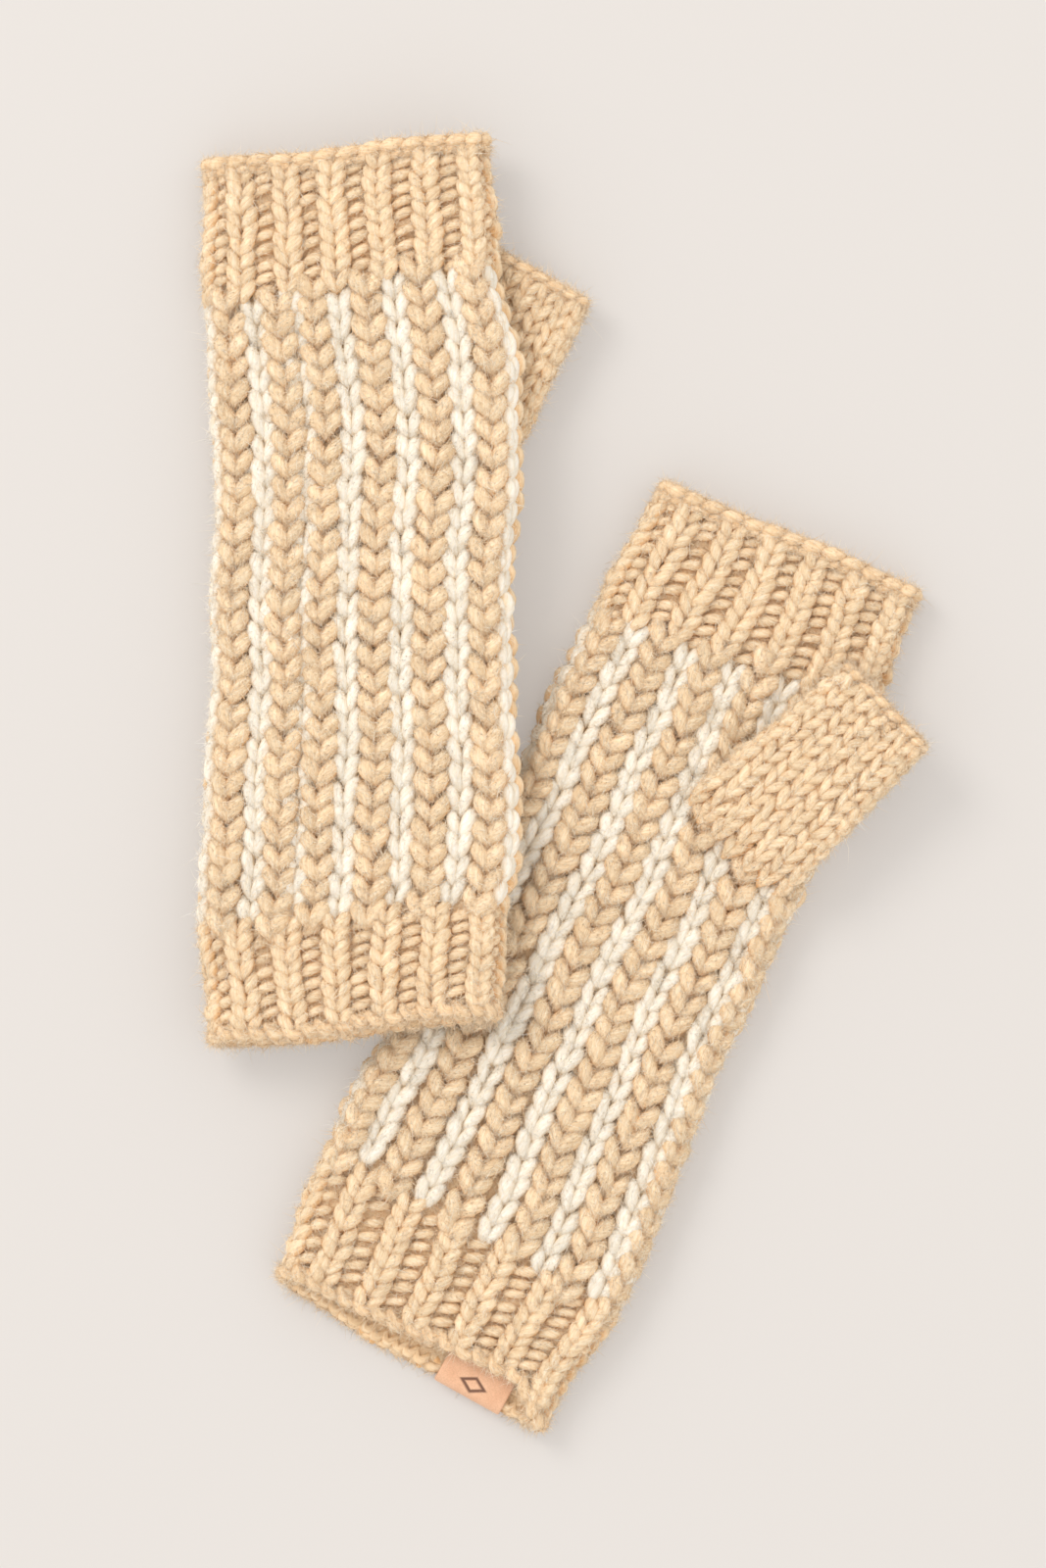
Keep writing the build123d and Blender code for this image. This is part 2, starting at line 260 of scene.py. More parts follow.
class Thumb:
    """A thumb tube, which widens in depth and narrows in breadth towards its opening."""

    def __init__(self, frame):
        self.frame = frame

    def column(self, number, y):
        return (number + 0.5) / THUMB_COLUMNS + 0 * y

    def size(self, y):
        share = np.clip(y / THUMB_LENGTH, 0, 1)
        return 42.0 - 7.0 * share, (6.0 + 5.0 * share) / 2

    def around(self, y):
        return perimeter(*self.size(y))

    def place(self, phi, y, height):
        width, radius = self.size(y)
        x, z, nx, nz = slot_point(phi, width, radius, height)
        rise = np.clip((y + 4) / 14, 0, 1)
        z = (z + radius) * (0.25 + 0.75 * rise * (2 - rise)) - 0.45 * np.clip(3 - y, 0, None)
        bulge = 4.0 * np.clip(1 - y / 35, 0, 1) * (1 - (2 * x / width) ** 2)
        points = np.stack([x, y - bulge, z], -1)
        return points, np.stack([nx, 0 * nx, nz], -1)


# ---- yarn ------------------------------------------------------------------

def unit_rows(vectors):
    return vectors / np.linalg.norm(vectors, axis=-1, keepdims=True)


class Yarn:
    """Collects tubes of yarn for one piece."""

    def __init__(self, frame, seed):
        self.frame = frame
        self.random = np.random.default_rng(seed)
        self.points, self.quads, self.caps = [], [], []
        self.fibre, self.tint, self.deep = [], [], []
        self.normals, self.along, self.exposed = [], [], []
        self.count = 0

    def add(self, path, up, radius, sides, lobes=0.02, twist=0.30, deep=None):
        """Closed tubes along paths of shape (tubes, stations, 3)."""
        tubes, stations, _ = path.shape
        if not tubes:
            return
        tangent = np.gradient(path, axis=1)
        tangent /= np.linalg.norm(tangent, axis=-1, keepdims=True)
        side = np.cross(tangent, up)
        side /= np.linalg.norm(side, axis=-1, keepdims=True)
        rise = np.cross(side, tangent)
        steps = np.linalg.norm(np.diff(path, axis=1), axis=-1)
        run = np.concatenate([np.zeros((tubes, 1)), np.cumsum(steps, 1)], 1)
        run = run + self.random.uniform(0, 60, (tubes, 1))
        angle = np.arange(sides) * 2 * pi / sides
        ply = angle + twist * run[..., None]
        reach = radius[..., None] * (1 + lobes * np.cos(3 * ply))
        spoke = (np.cos(angle)[:, None] * side[:, :, None] +
                 np.sin(angle)[:, None] * rise[:, :, None])
        points = path[:, :, None] + reach[..., None] * spoke
        self.points.append(points.reshape(-1, 3))
        self.normals.append(spoke.reshape(-1, 3))
        self.along.append(np.repeat(tangent[:, :, None], sides, 2).reshape(-1, 3))
        share = np.linspace(0, 1, stations)[:, None]
        outside = (np.sin(angle) > -0.3) & (share > 0.14) & (share < 0.92)
        self.exposed.append(np.broadcast_to(outside, ply.shape).reshape(-1))
        # Painted shade: unless given, it is strongest on a tube's inward side and towards its ends, where the
        # tube runs down between stitches.
        if deep is None:
            ends = np.clip(1 - 4 * np.minimum(share, 1.08 - share), 0, 1)
            deep = np.clip(np.clip(1.05 - 1.3 * np.sin(angle), 0, 1) ** 1.5 + ends, 0, 1)
        self.deep.append(np.broadcast_to(deep, ply.shape).reshape(-1))
        fibre = np.stack([
            radius[..., None] * np.cos(ply), radius[..., None] * np.sin(ply),
            np.broadcast_to(run[..., None], ply.shape)], -1)
        self.fibre.append(fibre.reshape(-1, 3))
        tint = self.random.uniform(0, 1, (tubes, 1, 1))
        self.tint.append(np.broadcast_to(tint, ply.shape).reshape(-1))
        index = self.count + np.arange(tubes * stations * sides).reshape(tubes, stations, sides)
        after = np.roll(index, -1, 2)
        quads = np.stack([index[:, :-1], index[:, 1:], after[:, 1:], after[:, :-1]], -1)
        self.quads.append(quads.reshape(-1, 4))
        self.caps.append(index[:, 0])
        self.caps.append(index[:, -1, ::-1])
        self.count += tubes * stations * sides

    def grid(self, points, closed, fibre=None, tint=None):
        """A sheet of quads closed round, of shape (along, round, 3): a ring, or a capped strip."""
        rows, cols, _ = points.shape
        index = self.count + np.arange(rows * cols).reshape(rows, cols)
        after = np.roll(index, -1, 1)
        quads = np.stack([index[:-1], index[1:], after[1:], after[:-1]], -1).reshape(-1, 4)
        if closed:
            last = np.stack([index[-1], index[0], after[0], after[-1]], -1)
            quads = np.concatenate([quads, last])
        else:
            self.caps += [index[:1], index[-1:, ::-1]]
        self.points.append(points.reshape(-1, 3))
        self.quads.append(quads)
        self.fibre.append((points if fibre is None else fibre).reshape(-1, 3))
        # Without a tint given, a sheet gets a low fixed one, a little darker than most stitches: painted
        # shade where it shows between them. It also gets the painted shade of a wrong side.
        self.tint.append(np.full(rows * cols, 0.15) if tint is None else tint.reshape(-1))
        self.deep.append(np.full(rows * cols, INSIDE_PAINTED_SHADE))
        self.count += rows * cols

    def spikes(self, root, tip, width, deep):
        """Straight fibres from root to tip, each a slim closed pyramid."""
        heading = unit_rows(tip - root)
        side = unit_rows(np.cross(heading, (0.31, 0.17, 0.93)))
        rise = np.cross(heading, side)
        angle = np.arange(3) * 2 * pi / 3
        ring = np.cos(angle)[:, None] * side[:, None] + np.sin(angle)[:, None] * rise[:, None]
        points = np.concatenate([root[:, None] + width * ring, tip[:, None]], 1)
        index = self.count + 4 * np.arange(len(root))[:, None]
        for corners in ((0, 1, 3), (1, 2, 3), (2, 0, 3), (2, 1, 0)):
            self.caps.append(index + np.array(corners))
        self.points.append(points.reshape(-1, 3))
        self.fibre.append(points.reshape(-1, 3))
        self.tint.append(np.repeat(self.random.uniform(0, 1, len(root)), 4))
        self.deep.append(np.repeat(deep, 4))
        self.count += 4 * len(root)

    def fuzz(self, short, long, seed):
        """Fine loose fibres of these tubes: short ones that lie along them, and long curled ones."""
        made = Yarn(self.frame, seed)
        random = made.random
        exposed = np.concatenate(self.exposed)
        points = np.concatenate(self.points)[:len(exposed)][exposed]
        normals, along = np.concatenate(self.normals)[exposed], np.concatenate(self.along)[exposed]
        # Fibres take a little less than the painted shade of the tube points they grow from.
        painted_shades = 0.8 * np.concatenate(self.deep)[:len(exposed)][exposed]

        def heads(count, lean, swing, lift):
            pick = random.integers(0, len(points), count)
            normal, tangent = normals[pick], along[pick]
            way = (random.normal(0, lean, (count, 1)) * tangent
                   + random.normal(0, swing, (count, 1)) * np.cross(normal, tangent)
                   + np.abs(random.normal(lift, lift / 2, (count, 1))) * normal)
            return points[pick] - 0.10 * normal, normal, unit_rows(way), painted_shades[pick]

        root, normal, heading, deep = heads(long, 1.0, 0.8, 0.50)
        length = np.exp(random.normal(1.05, 0.40, (long, 1)))
        curl = random.normal(0, 0.24, (long, 3)) - 0.25 * normal
        t = np.array([0.0, 0.5, 1.0])[None, :, None]
        path = root[:, None] + (heading * length)[:, None] * t + (curl * length)[:, None] * t ** 2
        radius = np.broadcast_to(np.array([0.060, 0.048, 0.004]), (long, 3))
        made.add(path, np.broadcast_to(normal[:, None], path.shape), radius, 3, 0.0, deep=deep[:, None, None])
        root, normal, heading, deep = heads(short, 1.0, 0.65, 0.30)
        made.spikes(root, root + heading * np.exp(random.normal(1.05, 0.35, (short, 1))), 0.100, deep)
        return made

    def mesh(self, name, material, slot):
        """The piece's object."""
        points = self.frame.world(np.concatenate(self.points))
        points[:, 2] = np.maximum(points[:, 2], 0.0)
        faces = [np.concatenate(self.quads)]
        sizes = [np.full(len(faces[0]), 4)]
        for cap in self.caps:
            faces.append(cap)
            sizes.append(np.full(len(cap), cap.shape[1]))
        loops = np.concatenate([face.reshape(-1) for face in faces])
        sizes = np.concatenate(sizes)
        starts = np.concatenate([[0], np.cumsum(sizes)[:-1]])
        mesh = bpy.data.meshes.new(name)
        mesh.vertices.add(len(points))
        mesh.vertices.foreach_set("co", points.astype(np.float32).ravel())
        mesh.loops.add(len(loops))
        mesh.loops.foreach_set("vertex_index", loops.astype(np.int32))
        mesh.polygons.add(len(sizes))
        mesh.polygons.foreach_set("loop_start", starts.astype(np.int32))
        mesh.polygons.foreach_set("use_smooth", np.ones(len(sizes), bool))
        mesh.update(calc_edges=True)
        mesh.attributes.new("fibre", "FLOAT_VECTOR", "POINT").data.foreach_set(
            "vector", np.concatenate(self.fibre).astype(np.float32).ravel())
        for title, values in (("tint", self.tint), ("deep", self.deep)):
            mesh.attributes.new(title, "FLOAT", "POINT").data.foreach_set(
                "value", np.concatenate(values).astype(np.float32))
        mesh.materials.append(material)
        piece = bpy.data.objects.new(name, mesh)
        bpy.context.scene.collection.objects.link(piece)
        return piece


def spline(controls, stations):
    """Control rows resampled along a smooth line."""
    controls = np.array(controls, float)
    first, last = 2 * controls[:1] - controls[1:2], 2 * controls[-1:] - controls[-2:-1]
    padded = np.concatenate([first, controls, last])
    t = np.linspace(0, len(controls) - 1, stations)
    index = np.minimum(t.astype(int), len(controls) - 2)
    f = (t - index)[:, None]
    a, b, c, d = (padded[index + k] for k in range(4))
    square, cube = 2 * a - 5 * b + 4 * c - d, 3 * b - a - 3 * c + d
    return 0.5 * (2 * b + (c - a) * f + square * f ** 2 + cube * f ** 3)


# Each row of a stitch's line: across from its column's middle, along in rows, height, radius.
RIDGE_LEG = [
    (0.05, -0.40, -4.6, 0.90), (0.45, -0.16, -3.10, 1.50), (1.15, 0.08, -2.40, 2.10),
    (2.25, 0.32, -2.20, 2.42), (3.20, 0.55, -2.60, 2.32), (3.70, 0.80, -3.90, 1.75),
    (3.65, 1.02, -5.30, 1.00),
]
CREAM_LEG = [
    (0.40, -0.34, -5.6, 0.75), (0.65, -0.12, -4.30, 1.20), (1.20, 0.16, -3.50, 1.80),
    (1.95, 0.50, -3.25, 2.18), (2.50, 0.80, -3.60, 2.08), (2.70, 1.02, -4.70, 1.50),
    (2.60, 1.16, -5.70, 0.90),
]
RIB_LEG = [
    (0.25, -0.52, -4.2, 0.80), (0.60, -0.22, -2.90, 1.30), (1.25, 0.08, -2.10, 1.75),
    (2.05, 0.42, -1.95, 1.98), (2.70, 0.74, -2.45, 1.85), (3.05, 1.02, -3.60, 1.35),
    (3.00, 1.25, -4.80, 0.80),
]
PURL_BUMP = [
    (-3.30, -0.42, -5.2, 0.90), (-2.00, -0.14, -3.80, 1.42), (0.00, 0.08, -3.35, 1.66),
    (2.00, 0.26, -3.80, 1.42), (3.30, 0.34, -5.2, 0.90),
]
INNER_BUMP = [
    (-2.10, 0.42, -4.2, 0.85), (-1.30, 0.05, -5.30, 1.15), (0.00, -0.20, -5.85, 1.35),
    (1.30, 0.05, -5.30, 1.15), (2.10, 0.42, -4.2, 0.85),
]
THUMB_LEG = [
    (0.15, -0.50, -3.0, 0.60), (0.40, -0.22, -2.05, 1.05), (0.85, 0.08, -1.50, 1.45),
    (1.45, 0.40, -1.35, 1.66), (2.00, 0.70, -1.70, 1.52), (2.25, 0.96, -2.50, 1.10),
    (2.25, 1.16, -3.20, 0.60),
]


def stitches(yarn, shape, column_of, spots, template, row_y, sides=12, stations=14, mirror=None, keep=None,
             deep=None):
    """Tubes of one template at spots, an array of (column, row)."""
    line = spline(template, stations)
    random = yarn.random
    count = len(spots)
    column, row = spots[:, :1], spots[:, 1:2]
    mirror = np.ones(count) if mirror is None else mirror

    def wobble(amount):
        return random.normal(0, amount, (count, 1))

    swell = 1 + wobble(0.07)
    across = mirror[:, None] * (line[None, :, 0] + wobble(0.20)) + wobble(0.18)
    rows = row + line[None, :, 1] * (1 + wobble(0.06)) + wobble(0.07)
    height = line[None, :, 2] + wobble(0.25)
    radius = line[None, :, 3] * swell * (1 + random.normal(0, 0.03, (count, stations)))
    base = np.stack([column_of(int(c), 0.0) for c in column[:, 0]])[:, None]
    y = row_y(base, rows)
    middle = np.stack([column_of(int(c), y[i]) for i, c in enumerate(column[:, 0])])
    phi = middle + across / shape.around(y)
    path, up = shape.place(phi, y, height)
    if keep is not None:
        kept = keep(path)
        path, up, radius = path[kept], up[kept], radius[kept]
    yarn.add(path, up, radius, sides, deep=deep)


def spots_of(columns, rows):
    """Two legs at every column and row: the spots and their mirrors."""
    grid = np.array([(c, r, m) for c in columns for r in range(rows) for m in (-1, 1)], float)
    return grid[:, :2], grid[:, 2]


# ---- where the rows of each part run ---------------------------------------

def hand_rows(hand):
    """Rows counted from the wrist border to the finger border."""
    def row_y(phi, rows):
        x, _ = hand.across(phi)
        low, high = hand.wrist_border(x), hand.finger_border(x)
        return low + (high - low) * rows / HAND_ROWS
    return row_y


def finger_rows(hand, inset=2.6):
    """Rows counted from the finger border to just inside the finger hem."""
    def row_y(phi, rows):
        x, _ = hand.across(phi)
        low, high = hand.finger_border(x), hand.finger_hem(x) - inset
        return low + (high - low) * rows / FINGER_ROWS
    return row_y


def wrist_rows(hand, inset=2.4):
    """Rows counted from just inside the wrist hem to the wrist border."""
    def row_y(phi, rows):
        x, top = hand.across(phi)
        low, high = hand.wrist_hem(x, top) + inset, hand.wrist_border(x)
        return low + (high - low) * rows / WRIST_ROWS
    return row_y


def thumb_rows(phi, rows):
    return 0 * phi + (THUMB_LENGTH - 2.6) * rows / THUMB_ROWS


# ---- the pieces ------------------------------------------------------------

HOLE_HALF_WIDTH = 12.0
HOLE_HALF_LENGTH = 5.0
HOLE_FROM_BASE = 10.0


def beside_hole(thumb, hand_frame):
    """Keeps the tubes whose middles are not in the opening between hand and thumb."""
    def keep(path):
        middle = path[:, path.shape[1] // 2]
        world = hand_frame.origin + middle @ hand_frame.axes
        x, y, z = thumb.local(world).T
        inside = (np.abs(x) < HOLE_HALF_WIDTH) & (np.abs(y - HOLE_FROM_BASE) < HOLE_HALF_LENGTH)
        return ~(inside & (z > -8))
    return keep


def hand_stitches(side, hand, keep):
    """The hand's camel ridges and cream columns, each as an upper and a lower piece."""
    pieces = []
    for colour, first, template in (("cream", 0, CREAM_LEG), ("camel", 1, RIDGE_LEG)):
        for layer, columns in (("upper", range(first, 12, 2)), ("lower", range(12 + first, COLUMNS, 2))):
            yarn = Yarn(hand.frame, 100 + first + 10 * (layer == "upper") + 20 * (side == "left"))
            spots, mirror = spots_of(columns, HAND_ROWS + (colour == "camel"))
            sides, stations = (12, 14) if layer == "upper" else (9, 10)
            rows = hand_rows(hand)
            phase = yarn.random.uniform(-0.3, 0.3, COLUMNS)[spots[:, 0].astype(int)]
            spots[:, 1] += phase - 0.5 * (colour == "camel")
            stitches(yarn, hand, hand.column, spots, template, rows, sides, stations, mirror, keep)
            name = f"{side}_hand_{colour}_{layer}"
            pieces.append((name, yarn, colour))
    return pieces


def rib_stitches(yarn, hand, row_y, rows, hem_rows, keep=None):
    """A rib: knit and purl columns, and the wrong side's bumps just inside the hem."""
    spots, mirror = spots_of(range(0, RIB_COLUMNS, 2), rows)
    stitches(yarn, hand, hand.rib_column, spots, RIB_LEG, row_y, 10, 11, mirror)
    purl = np.array([(c, r) for c in range(1, RIB_COLUMNS, 2) for r in range(rows)], float)
    stitches(yarn, hand, hand.rib_column, purl, PURL_BUMP, row_y, 9, 10)
    inner = np.array([(c, r) for c in range(2 * RIB_COLUMNS) for r in hem_rows], float)
    stitches(yarn, hand, lambda number, y: hand.rib_column(number / 2, y), inner, INNER_BUMP, row_y, 8, 8,
             keep=keep, deep=INSIDE_PAINTED_SHADE)


def edge_loops(yarn, shape, template, count, row_y, row, scale=1.0, sides=10, stations=11):
    """Loops spaced round an edge, each running along it."""
    line = spline(template, stations)
    random = yarn.random
    phi0 = (np.arange(count) / count)[:, None]
    pitch = 1 / count
    phi = phi0 + pitch * (line[None, :, 0] + random.normal(0, 0.03, (count, 1)))
    y = row_y(phi, row + 0 * phi) + line[None, :, 1] + random.normal(0, 0.15, (count, 1))
    height = line[None, :, 2] + random.normal(0, 0.08, (count, 1))
    radius = line[None, :, 3] * scale * (1 + random.normal(0, 0.03, (count, 1)))
    path, up = shape.place(phi, y, height)
    yarn.add(path, up, radius, sides, deep=INSIDE_PAINTED_SHADE)


# Each row of an edge loop's line: along the edge in loops, across it, height, radius.
CHAIN_OUTER = [
    (-0.20, -0.6, -3.4, 0.9), (0.02, -0.45, -2.0, 1.5), (0.38, 0.05, -1.2, 2.05),
    (0.74, 0.45, -2.0, 1.6), (0.98, 0.3, -3.4, 0.9),
]
CHAIN_INNER = [
    (-0.35, 1.2, -3.2, 0.9), (0.00, 0.9, -4.4, 1.35), (0.45, 0.2, -4.9, 1.55),
    (0.90, 0.8, -4.0, 1.40), (1.20, 1.2, -2.9, 0.9),
]
CHAIN_BELOW = [
    (-0.45, -0.9, -3.6, 0.9), (-0.10, -0.3, -2.2, 1.35), (0.30, 0.3, -1.7, 1.55),
    (0.70, 0.3, -2.4, 1.35), (1.00, -0.2, -3.8, 0.9),
]
CAST_OUTER = [
    (-0.55, 2.4, -3.6, 0.9), (-0.35, 0.8, -1.8, 1.55), (0.00, -0.7, -1.7, 1.90),
    (0.40, -0.3, -2.7, 1.75), (0.70, 1.0, -4.2, 1.2),
]
CAST_INNER = [
    (-0.60, 1.0, -4.6, 1.0), (-0.20, -0.3, -4.4, 1.40), (0.20, -0.5, -3.6, 1.50),
    (0.60, 0.6, -2.6, 1.1),
]


def hem_row(hand, which):
    def row_y(phi, rows):
        x, top = hand.across(phi)
        return (hand.finger_hem(x) if which == "finger" else hand.wrist_hem(x, top)) + rows
    return row_y


def bind_off(yarn, shape, count, row_y, scale=1.0):
    edge_loops(yarn, shape, CHAIN_OUTER, count, row_y, -1.9, scale)
    edge_loops(yarn, shape, CHAIN_INNER, count, row_y, -2.2, scale)
    edge_loops(yarn, shape, CHAIN_BELOW, 2 * count, row_y, -4.2, 0.9 * scale)


def backing(shape, rows_y, height, thickness, columns=120, relief=0.35, hole=None):
    """The knitting's inside: a closed sheet behind the stitches, bumpy as the wrong side is."""
    phi = np.arange(columns) / columns
    layers = []
    for depth, order in ((height, rows_y), (height - thickness, rows_y[::-1])):
        grid_phi, grid_row = np.meshgrid(phi, np.arange(len(order)))
        y = np.stack([order[k](phi) for k in range(len(order))])
        bump = relief * np.sin(grid_phi * COLUMNS * 2 * pi * 2) * np.sin(grid_row * pi * 0.9)
        points, _ = shape.place(grid_phi, y, depth - np.abs(bump))
        layers.append(points)
    return np.concatenate(layers)


def span_rows(row_y, start, end, steps):
    """Functions of phi for the rows of a backing sheet."""
    return [lambda phi, row=row: row_y(phi, row + 0 * phi) for row in np.linspace(start, end, steps)]


# ---- colours and finishes --------------------------------------------------

def new_material(name, roughness, sheen, sheen_tint):
    material = bpy.data.materials.new(name)
    material.use_nodes = True
    nodes, links = material.node_tree.nodes, material.node_tree.links
    shader = nodes["Principled BSDF"]
    shader.inputs["Roughness"].default_value = roughness
    shader.inputs["Sheen Weight"].default_value = sheen
    shader.inputs["Sheen Roughness"].default_value = 0.45
    shader.inputs["Sheen Tint"].default_value = (*sheen_tint, 1)
    shader.inputs["Specular IOR Level"].default_value = 0.25
    return material, nodes, links, shader


def noise(nodes, links, vector, scale, detail, roughness=0.55):
    node = nodes.new("ShaderNodeTexNoise")
    node.inputs["Scale"].default_value = scale
    node.inputs["Detail"].default_value = detail
    node.inputs["Roughness"].default_value = roughness
    links.new(vector, node.inputs["Vector"])
    return node.outputs["Fac"]


def ramp(nodes, links, value, stops):
    node = nodes.new("ShaderNodeValToRGB")
    links.new(value, node.inputs["Fac"])
    elements = node.color_ramp.elements
    elements[0].position, elements[0].color = stops[0][0], (*stops[0][1], 1)
    elements[1].position, elements[1].color = stops[-1][0], (*stops[-1][1], 1)
    for position, colour in stops[1:-1]:
        elements.new(position).color = (*colour, 1)
    return node.outputs["Color"]


def mix(nodes, links, a, b, factor, blend="MIX"):
    node = nodes.new("ShaderNodeMix")
    node.data_type = "RGBA"
    node.blend_type = blend
    for value, socket in ((factor, node.inputs[0]), (a, node.inputs[6]), (b, node.inputs[7])):
        if isinstance(value, bpy.types.NodeSocket):
            links.new(value, socket)
        else:
            socket.default_value = value
    return node.outputs[2]


def stretched(nodes, links, vector, scale):
    node = nodes.new("ShaderNodeMapping")
    node.inputs["Scale"].default_value = scale
    links.new(vector, node.inputs["Vector"])
    return node.outputs["Vector"]


def attribute(nodes, name, output):
    node = nodes.new("ShaderNodeAttribute")
    node.attribute_name = name
    return node.outputs[output]


def add_painted_shade(nodes, links, colour, shadow):
    """Painted shade: the colour between stitches is made darker and warmer, by the mesh's shade attribute,
    standing in for shade and for light that has passed through wool.
    """
    painted_shade_factor = ramp(nodes, links, attribute(nodes, "deep", "Fac"), [(0.0, (1.0, 1.0, 1.0)), (1.0, shadow)])
    return mix(nodes, links, colour, painted_shade_factor, 1.0, "MULTIPLY")


def yarn_material(name, dark, body, light, fleck, shadow):
    """Soft brushed wool: streaks along the fibres, paler flecks, and each stitch its own shade."""
    material, nodes, links, shader = new_material(name, 0.90, 0.12, light)
    fibre = attribute(nodes, "fibre", "Vector")
    tint = attribute(nodes, "tint", "Fac")
    streaks = noise(nodes, links, stretched(nodes, links, fibre, (1.5, 1.5, 0.20)), 1.0, 4.0, 0.65)
    fine = noise(nodes, links, stretched(nodes, links, fibre, (3.4, 3.4, 0.35)), 1.0, 4.0, 0.6)
    flecks = noise(nodes, links, stretched(nodes, links, fibre, (3.0, 3.0, 0.28)), 1.0, 2.0)
    colour = ramp(nodes, links, streaks, [(0.36, dark), (0.50, body), (0.62, light)])
    shade = ramp(nodes, links, tint, [(0.0, (0.90, 0.89, 0.87)), (1.0, (1.04, 1.03, 1.02))])
    colour = mix(nodes, links, colour, shade, 1.0, "MULTIPLY")
    spots = ramp(nodes, links, flecks, [(0.60, (0, 0, 0)), (0.70, (0.65, 0.65, 0.65))])
    colour = mix(nodes, links, colour, (*fleck, 1), spots)
    # Painted shade: the streaked colour is darkened and warmed between stitches.
    links.new(add_painted_shade(nodes, links, colour, shadow), shader.inputs["Base Color"])
    bump = nodes.new("ShaderNodeBump")
    bump.inputs["Strength"].default_value = 0.8
    bump.inputs["Distance"].default_value = 0.0006
    links.new(fine, bump.inputs["Height"])
    links.new(bump.outputs["Normal"], shader.inputs["Normal"])
    return material


def fuzz_material(name, colour, pale, shadow):
    """Single loose fibres."""
    material, nodes, links, shader = new_material(name, 0.90, 0.10, pale)
    tint = attribute(nodes, "tint", "Fac")
    fibre = ramp(nodes, links, tint, [(0.0, colour), (1.0, pale)])
    # Painted shade: a fibre is darkened and warmed as its root is.
    links.new(add_painted_shade(nodes, links, fibre, shadow), shader.inputs["Base Color"])
    return material


def leather_material():
    """Smooth tanned leather with a fine grain; the pressed mark is darker."""
    material, nodes, links, shader = new_material("tan_leather", 0.55, 0.15, (0.95, 0.80, 0.68))
    place = attribute(nodes, "fibre", "Vector")
    mark = attribute(nodes, "tint", "Fac")
    cloud = noise(nodes, links, stretched(nodes, links, place, (0.16, 0.16, 0.16)), 1.0, 5.0)
    grain = noise(nodes, links, stretched(nodes, links, place, (2.8, 2.8, 2.8)), 1.0, 4.0, 0.6)
    colour = ramp(nodes, links, cloud, [(0.30, (0.70, 0.40, 0.245)), (0.70, (0.80, 0.50, 0.325))])
    pores = ramp(nodes, links, grain, [(0.30, (0.86, 0.84, 0.82)), (0.62, (1.03, 1.03, 1.03))])
    colour = mix(nodes, links, colour, pores, 1.0, "MULTIPLY")
    colour = mix(nodes, links, colour, (0.17, 0.085, 0.055, 1), mark)
    links.new(colour, shader.inputs["Base Color"])
    bump = nodes.new("ShaderNodeBump")
    bump.inputs["Strength"].default_value = 0.35
    bump.inputs["Distance"].default_value = 0.0002
    links.new(grain, bump.inputs["Height"])
    links.new(bump.outputs["Normal"], shader.inputs["Normal"])
    return material


# The colours that painted shade multiplies the yarn and its fibres by, between stitches.
CAMEL_SHADOW = (0.99, 0.79, 0.58)
CREAM_SHADOW = (0.99, 0.82, 0.60)
CAMEL = yarn_material(
    "camel_yarn", (0.82, 0.60, 0.37), (0.92, 0.71, 0.47), (0.97, 0.81, 0.59), (0.98, 0.91, 0.77),
    CAMEL_SHADOW)
CREAM = yarn_material(
    "cream_yarn", (0.92, 0.82, 0.66), (0.97, 0.90, 0.78), (0.98, 0.94, 0.86), (0.98, 0.96, 0.91),
    CREAM_SHADOW)
CAMEL_FUZZ = fuzz_material("camel_fuzz", (0.86, 0.64, 0.40), (0.98, 0.91, 0.78), CAMEL_SHADOW)
CREAM_FUZZ = fuzz_material("cream_fuzz", (0.95, 0.87, 0.74), (0.98, 0.95, 0.90), CREAM_SHADOW)
LEATHER = leather_material()
FUZZ_MATERIALS = {"camel": CAMEL_FUZZ, "cream": CREAM_FUZZ}
FUZZ = {
    "hand_camel_upper": (24000, 4500), "hand_camel_lower": (1500, 400),
    "hand_cream_upper": (11000, 2200), "hand_cream_lower": (900, 200),
    "finger_rib_stitches": (12000, 2200), "finger_bind_off_chain": (3500, 800),
    "wrist_rib_stitches": (12000, 2200), "wrist_cast_on_loops": (3500, 800),
    "thumb_stitches": (7500, 1500), "thumb_bind_off_chain": (1700, 450),
}
SLOTS = {"camel": ("camel_yarn", CAMEL), "cream": ("cream_yarn", CREAM)}


# ---- the leather label and the ring round the thumb's opening ---------------

LABEL_X = 20.5
LABEL_FOLD_Y = -46.7     # of the fold's outside
LABEL_SLANT = radians(-4.3)
LABEL_WIDTH = 21.8
LEATHER_THICKNESS = 1.2
LABEL_LINE = [           # the strip's middle: from the fold up the glove, and height
    (13.2, -1.25), (9.0, -1.30), (5.5, -1.35), (3.6, -1.50), (2.3, -1.95), (1.2, -2.90),
    (0.65, -4.30), (1.2, -5.75), (2.3, -6.75), (3.6, -7.15), (5.5, -7.30), (9.0, -7.35), (13.2, -7.35),
]
MARK_HALF_WIDTH = 4.5
MARK_HALF_HEIGHT = 2.5
MARK_FROM_FOLD = 4.5
MARK_LINE = 0.18         # half of the line, as a share of the lozenge
MARK_DEPTH = 0.30
STITCH_Y = 11.6
STITCH_COUNT = 5


def on_label(points):
    """Points across and along the label, carried into the glove's frame."""
    across, up, height = np.moveaxis(np.asarray(points, float), -1, 0)
    x = LABEL_X + across * np.cos(LABEL_SLANT) - up * np.sin(LABEL_SLANT)
    y = LABEL_FOLD_Y + across * np.sin(LABEL_SLANT) + up * np.cos(LABEL_SLANT)
    return np.stack([x, y, height], -1)


